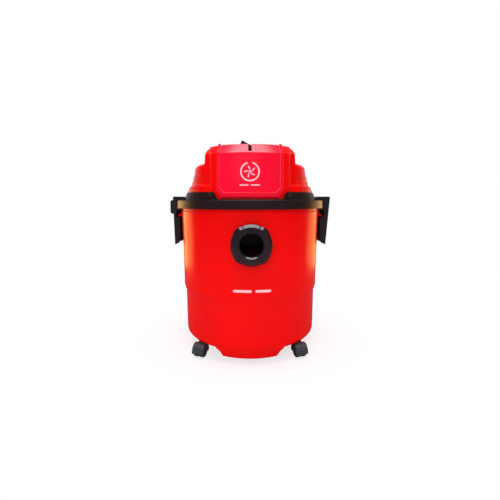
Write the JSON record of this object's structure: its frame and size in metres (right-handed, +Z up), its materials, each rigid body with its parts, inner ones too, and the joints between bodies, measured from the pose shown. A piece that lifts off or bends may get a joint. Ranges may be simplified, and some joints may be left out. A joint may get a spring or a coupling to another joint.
{
  "type": "shop vacuum",
  "caption": "Round wet and dry drum vacuum on swivel castors, with a front hose inlet, side latches and a lift-off motor head.",
  "frame": {"origin": "on the floor, on the axis of the tank, midway between the castors", "axes": "+Z up, -Y towards the hose inlet at the front, +X to the right seen from the front"},
  "size_m": [0.3346, 0.3124, 0.4024],
  "materials": {
    "red_shell": "moulded, satin gloss",
    "red_panel": "moulded, glossy",
    "black_gloss": "moulded, glossy",
    "black_matte": "moulded, fine texture",
    "castor_grey": "moulded, satin",
    "rubber": "matt rubber",
    "steel": "zinc plated",
    "aluminium": "die cast",
    "core_steel": "laminated stack",
    "copper": "enamelled wire",
    "brass": "pressed",
    "carbon": "pressed carbon",
    "white_plastic": "moulded nylon",
    "filter_cloth": "pleated cloth",
    "badge_white": "printed"
  },
  "bodies": {
    "tank_body": {"tank": "red_shell", "inlet_socket": "black_gloss", "inlet_gasket": "rubber", "inlet_nut": "black_matte", "inlet_deflector": "black_matte", "castor_bushes": "white_plastic", "latch_catches": "red_shell"},
    "head": {"head_base": "black_gloss", "head_cover": "red_shell", "front_panel": "red_panel", "badge": "badge_white", "carry_grip": "black_matte", "rim_gasket": "rubber", "latch_pins": "steel", "switch_housing": "black_matte", "cord_gland": "rubber", "fan_housing": "steel", "motor_bracket": "aluminium", "top_bracket": "aluminium", "lower_bearing": "steel", "upper_bearing": "steel", "field_stator": "core_steel", "field_coils": "copper", "brush_holders": "brass", "carbon_brushes": "carbon", "lower_motor_mount": "rubber", "upper_motor_mount": "rubber", "motor_cover": "black_matte", "float_cage": "black_matte", "filter_sleeve": "filter_cloth", "filter_ring": "rubber", "cage_screws": "steel", "cover_screws": "steel"},
    "rotor": {"motor_shaft": "steel", "impeller": "aluminium", "armature_core": "core_steel", "armature_winding": "copper", "commutator": "copper"},
    "float": {"float_body": "white_plastic"},
    "switch_rocker": {"switch_rocker": "black_matte"},
    "latch_left": {"latch_left": "black_matte"},
    "latch_right": {"latch_right": "black_matte"},
    "castor_fl": {"castor_fl_housing": "castor_grey", "castor_fl_stem": "steel"},
    "wheels_fl": {"castor_fl_wheels": "castor_grey", "castor_fl_axle": "steel"},
    "castor_fr": {"castor_fr_housing": "castor_grey", "castor_fr_stem": "steel"},
    "wheels_fr": {"castor_fr_wheels": "castor_grey", "castor_fr_axle": "steel"},
    "castor_rl": {"castor_rl_housing": "castor_grey", "castor_rl_stem": "steel"},
    "wheels_rl": {"castor_rl_wheels": "castor_grey", "castor_rl_axle": "steel"},
    "castor_rr": {"castor_rr_housing": "castor_grey", "castor_rr_stem": "steel"},
    "wheels_rr": {"castor_rr_wheels": "castor_grey", "castor_rr_axle": "steel"}
  },
  "joints": [
    {"name": "head_lift", "type": "slide", "parent": "tank_body", "child": "head", "axis": [0, 0, 1], "range_m": [0, 0.2]},
    {"name": "latch_right_swing", "type": "hinge", "parent": "head", "child": "latch_right", "pos_m": [0.1415, 0, 0.2956], "axis": [0, -1, 0], "range_deg": [0, 95]},
    {"name": "latch_left_swing", "type": "hinge", "parent": "head", "child": "latch_left", "pos_m": [-0.1415, 0, 0.2956], "axis": [0, 1, 0], "range_deg": [0, 95]},
    {"name": "switch_rock", "type": "hinge", "parent": "head", "child": "switch_rocker", "pos_m": [0.002, -0.081, 0.3888], "axis": [0, -1, 0], "range_deg": [0, 25]},
    {"name": "float_rise", "type": "slide", "parent": "head", "child": "float", "axis": [0, 0, 1], "range_m": [0, 0.045]},
    {"name": "motor_spin", "type": "hinge", "parent": "head", "child": "rotor", "pos_m": [0, 0, 0.34], "axis": [0, 0, 1], "continuous": true},
    {"name": "castor_fl_swivel", "type": "hinge", "parent": "tank_body", "child": "castor_fl", "pos_m": [-0.088, -0.075, 0.03], "axis": [0, 0, 1], "continuous": true},
    {"name": "castor_fl_roll", "type": "hinge", "parent": "castor_fl", "child": "wheels_fl", "pos_m": [-0.09239, -0.08934, 0.0116], "axis": [0.9563, -0.2924, 0], "continuous": true},
    {"name": "castor_fr_swivel", "type": "hinge", "parent": "tank_body", "child": "castor_fr", "pos_m": [0.088, -0.075, 0.03], "axis": [0, 0, 1], "continuous": true},
    {"name": "castor_fr_roll", "type": "hinge", "parent": "castor_fr", "child": "wheels_fr", "pos_m": [0.09239, -0.08934, 0.0116], "axis": [0.9563, 0.2924, 0], "continuous": true},
    {"name": "castor_rl_swivel", "type": "hinge", "parent": "tank_body", "child": "castor_rl", "pos_m": [-0.088, 0.075, 0.03], "axis": [0, 0, 1], "continuous": true},
    {"name": "castor_rl_roll", "type": "hinge", "parent": "castor_rl", "child": "wheels_rl", "pos_m": [-0.09239, 0.08934, 0.0116], "axis": [-0.9563, -0.2924, 0], "continuous": true},
    {"name": "castor_rr_swivel", "type": "hinge", "parent": "tank_body", "child": "castor_rr", "pos_m": [0.088, 0.075, 0.03], "axis": [0, 0, 1], "continuous": true},
    {"name": "castor_rr_roll", "type": "hinge", "parent": "castor_rr", "child": "wheels_rr", "pos_m": [0.09239, 0.08934, 0.0116], "axis": [-0.9563, 0.2924, 0], "continuous": true}
  ]
}
